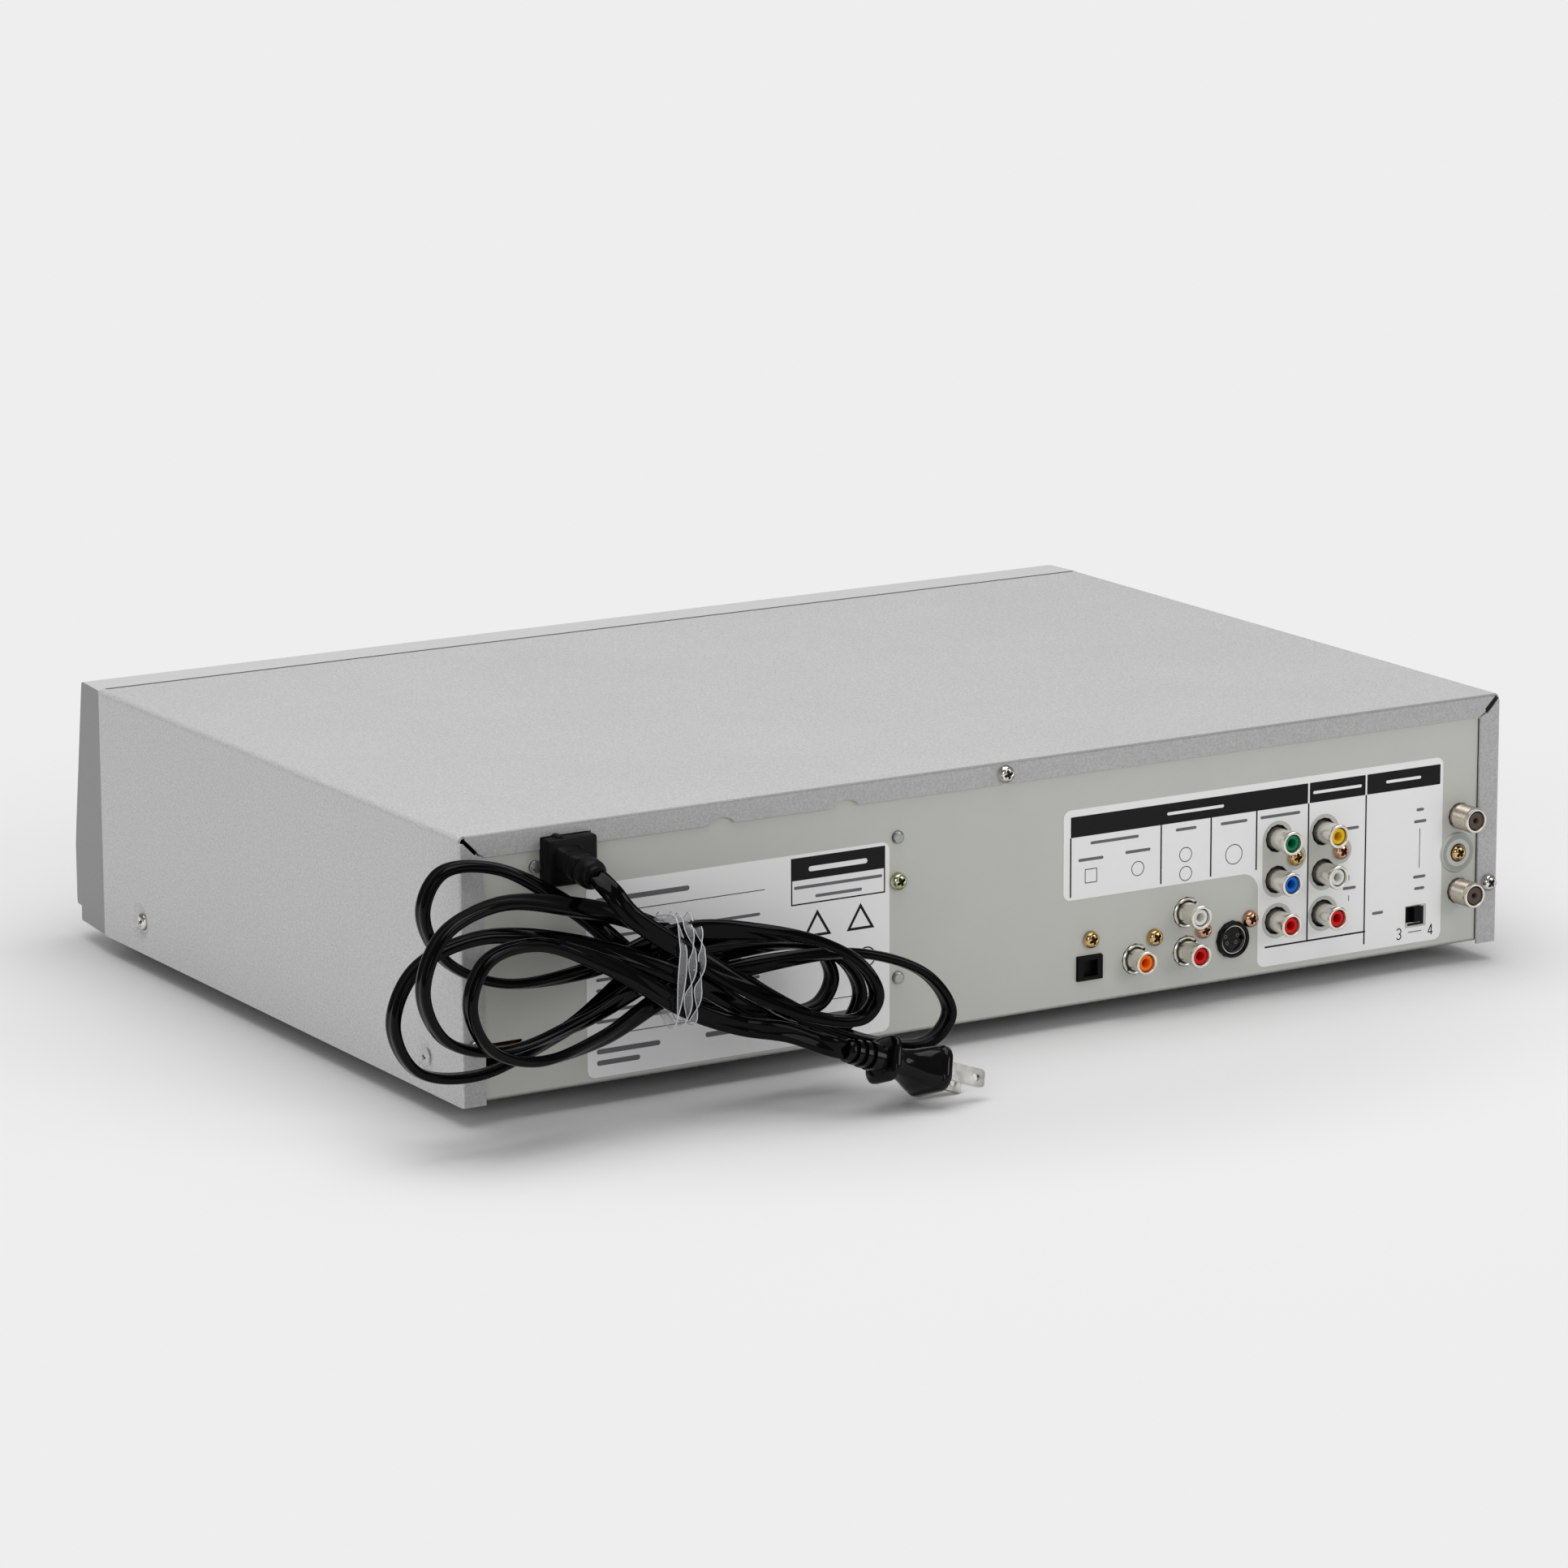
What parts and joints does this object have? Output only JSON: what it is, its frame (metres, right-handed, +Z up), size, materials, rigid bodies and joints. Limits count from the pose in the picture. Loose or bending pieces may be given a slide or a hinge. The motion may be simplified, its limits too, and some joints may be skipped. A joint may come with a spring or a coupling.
{
  "type": "disc and cassette combination player",
  "caption": "Slim metal-cased tabletop player with a disc tray and a cassette door side by side, front controls, rear connectors and a tied mains cord.",
  "frame": {"origin": "under the middle of the case, on the surface its feet stand on", "axes": "+X to the left seen from behind, towards the mains cord; -Y out of the front with the tray and the cassette door, +Y out of the rear panel; +Z up"},
  "size_m": [0.4722, 0.3813, 0.101],
  "materials": {
    "cover_paint": "silver-grey baked paint, satin",
    "bezel_plastic": "moulded silver plastic",
    "panel_paint": "greenish beige-grey paint, matt",
    "zinc_steel": "zinc-plated sheet steel",
    "dark_steel": "turned steel",
    "black_plastic": "moulded black plastic",
    "gloss_black": "black PVC",
    "silver_plastic": "silver-painted plastic",
    "grey_plastic": "moulded grey plastic",
    "white_plastic": "white acetal",
    "board_green": "green circuit board",
    "board_brown": "brown phenolic board",
    "nickel": "nickel plate",
    "rubber": "moulded rubber",
    "smoked_window": "smoked acrylic",
    "clear_tie": "clear soft plastic"
  },
  "bodies": {
    "case": {"top_cover": "cover_paint", "bottom_chassis": "zinc_steel", "rear_panel": "panel_paint", "front_bezel": "bezel_plastic", "foot_front_left": "rubber", "foot_front_right": "rubber", "foot_rear_left": "rubber", "foot_rear_right": "rubber", "deck_chassis": "zinc_steel", "drum_base": "nickel", "cassette_frame": "zinc_steel", "loader_frame": "grey_plastic", "clamp_bridge": "zinc_steel", "main_board": "board_green", "power_board": "board_brown", "front_board": "board_brown", "display_window": "smoked_window", "front_jacks": "black_plastic", "component_jacks": "black_plastic", "av_jacks": "black_plastic", "audio_jacks": "black_plastic", "coaxial_jack": "black_plastic", "optical_jack": "black_plastic", "s_video_jack": "black_plastic", "tuner_can": "zinc_steel", "cord_bushing": "gloss_black", "cord_lead": "gloss_black", "cord_hank": "gloss_black", "cord_tail": "gloss_black", "plug_body": "gloss_black", "plug_blade_low": "nickel", "plug_blade_high": "nickel", "cord_tie": "clear_tie"},
    "cassette_door": {"cassette_door": "bezel_plastic"},
    "cassette_slider": {"cassette_slider": "white_plastic"},
    "cassette_holder": {"cassette_holder": "zinc_steel"},
    "head_drum": {"head_drum": "nickel"},
    "capstan": {"capstan": "dark_steel"},
    "pinch_arm": {"pinch_arm": "zinc_steel"},
    "pinch_roller": {"pinch_roller": "rubber"},
    "supply_reel": {"supply_reel": "white_plastic"},
    "take_up_reel": {"take_up_reel": "white_plastic"},
    "disc_tray": {"disc_tray": "black_plastic", "tray_front": "bezel_plastic"},
    "tray_gear": {"tray_gear": "white_plastic"},
    "traverse": {"traverse_frame": "grey_plastic"},
    "spindle": {"spindle_turntable": "black_plastic"},
    "laser_sled": {"laser_sled": "dark_steel"},
    "disc_clamper": {"disc_clamper": "grey_plastic"},
    "power_button": {"power_button": "silver_plastic"},
    "rewind_button": {"rewind_button": "silver_plastic"},
    "play_button": {"play_button": "silver_plastic"},
    "fast_forward_button": {"fast_forward_button": "silver_plastic"},
    "stop_button": {"stop_button": "silver_plastic"},
    "record_button": {"record_button": "silver_plastic"},
    "source_button": {"source_button": "silver_plastic"},
    "tape_eject_button": {"tape_eject_button": "silver_plastic"},
    "disc_open_button": {"disc_open_button": "silver_plastic"},
    "channel_rocker": {"channel_rocker": "silver_plastic"},
    "channel_switch": {"channel_switch": "black_plastic"}
  },
  "joints": [
    {"name": "cassette_door_hinge", "type": "hinge", "parent": "case", "child": "cassette_door", "pos_m": [-0.106, -0.15375, 0.086], "axis": [1, 0, 0], "range_deg": [0, 100], "stiffness_Nm_per_rad": 0.02, "springref_deg": -20.05},
    {"name": "cassette_slide", "type": "slide", "parent": "case", "child": "cassette_slider", "axis": [0, 1, 0], "range_m": [0, 0.065]},
    {"name": "cassette_lower", "type": "slide", "parent": "cassette_slider", "child": "cassette_holder", "axis": [0, 0, -1], "range_m": [0, 0.022]},
    {"name": "head_drum_spin", "type": "hinge", "parent": "case", "child": "head_drum", "pos_m": [-0.106, 0.09047, 0.047], "axis": [0, 0.1028, 0.9947], "continuous": true},
    {"name": "capstan_spin", "type": "hinge", "parent": "case", "child": "capstan", "pos_m": [-0.048, 0.06345, 0.04], "axis": [0, 0, 1], "continuous": true},
    {"name": "pinch_arm_swing", "type": "hinge", "parent": "case", "child": "pinch_arm", "pos_m": [-0.0257, 0.08545, 0.0283], "axis": [0, 0, -1], "range_deg": [0, 25], "stiffness_Nm_per_rad": 0.01},
    {"name": "pinch_roller_spin", "type": "hinge", "parent": "pinch_arm", "child": "pinch_roller", "pos_m": [-0.02909, 0.0596, 0.036], "axis": [0, 0, 1], "continuous": true},
    {"name": "supply_reel_spin", "type": "hinge", "parent": "case", "child": "supply_reel", "pos_m": [-0.1522, -0.00455, 0.038], "axis": [0, 0, 1], "continuous": true},
    {"name": "take_up_reel_spin", "type": "hinge", "parent": "case", "child": "take_up_reel", "pos_m": [-0.0598, -0.00455, 0.038], "axis": [0, 0, 1], "continuous": true},
    {"name": "tray_slide", "type": "slide", "parent": "case", "child": "disc_tray", "axis": [0, -1, 0], "range_m": [0, 0.148]},
    {"name": "tray_gear_turn", "type": "hinge", "parent": "case", "child": "tray_gear", "pos_m": [0.052, -0.12155, 0.072], "axis": [0, 0, -1], "range_deg": [0, 945]},
    {"name": "traverse_lift", "type": "hinge", "parent": "case", "child": "traverse", "pos_m": [0.108, 0.02845, 0.068], "axis": [-1, 0, 0], "range_deg": [0, 6]},
    {"name": "spindle_spin", "type": "hinge", "parent": "traverse", "child": "spindle", "pos_m": [0.108, -0.06985, 0.06571], "axis": [0, -0.1045, 0.9945], "continuous": true},
    {"name": "sled_slide", "type": "slide", "parent": "traverse", "child": "laser_sled", "axis": [0, 0.9945, 0.1045], "range_m": [0, 0.034]},
    {"name": "disc_clamper_spin", "type": "hinge", "parent": "case", "child": "disc_clamper", "pos_m": [0.108, -0.06955, 0.086], "axis": [0, 0, 1], "continuous": true},
    {"name": "power_press", "type": "slide", "parent": "case", "child": "power_button", "axis": [0, 1, 0], "range_m": [0, 0.0012], "stiffness_N_per_m": 400, "springref_m": -0.0006},
    {"name": "rewind_press", "type": "slide", "parent": "case", "child": "rewind_button", "axis": [0, 1, 0], "range_m": [0, 0.0012], "stiffness_N_per_m": 400, "springref_m": -0.0006},
    {"name": "play_press", "type": "slide", "parent": "case", "child": "play_button", "axis": [0, 1, 0], "range_m": [0, 0.0012], "stiffness_N_per_m": 400, "springref_m": -0.0006},
    {"name": "fast_forward_press", "type": "slide", "parent": "case", "child": "fast_forward_button", "axis": [0, 1, 0], "range_m": [0, 0.0012], "stiffness_N_per_m": 400, "springref_m": -0.0006},
    {"name": "stop_press", "type": "slide", "parent": "case", "child": "stop_button", "axis": [0, 1, 0], "range_m": [0, 0.0012], "stiffness_N_per_m": 400, "springref_m": -0.0006},
    {"name": "record_press", "type": "slide", "parent": "case", "child": "record_button", "axis": [0, 1, 0], "range_m": [0, 0.0012], "stiffness_N_per_m": 400, "springref_m": -0.0006},
    {"name": "source_press", "type": "slide", "parent": "case", "child": "source_button", "axis": [0, 1, 0], "range_m": [0, 0.0012], "stiffness_N_per_m": 400, "springref_m": -0.0006},
    {"name": "tape_eject_press", "type": "slide", "parent": "case", "child": "tape_eject_button", "axis": [0, 1, 0], "range_m": [0, 0.0012], "stiffness_N_per_m": 400, "springref_m": -0.0006},
    {"name": "disc_open_press", "type": "slide", "parent": "case", "child": "disc_open_button", "axis": [0, 1, 0], "range_m": [0, 0.0012], "stiffness_N_per_m": 400, "springref_m": -0.0006},
    {"name": "channel_rocker_tilt", "type": "hinge", "parent": "case", "child": "channel_rocker", "pos_m": [0.012, -0.16427, 0.038], "axis": [1, 0, 0], "range_deg": [-4, 4], "stiffness_Nm_per_rad": 0.5},
    {"name": "channel_switch_slide", "type": "slide", "parent": "case", "child": "channel_switch", "axis": [1, 0, 0], "range_m": [0, 0.0026]}
  ],
  "couplings": [
    {"joint": "tray_gear_turn", "follows": "tray_slide", "rad_per_m": 111.11},
    {"joint": "disc_clamper_spin", "follows": "spindle_spin", "ratio": 1}
  ]
}
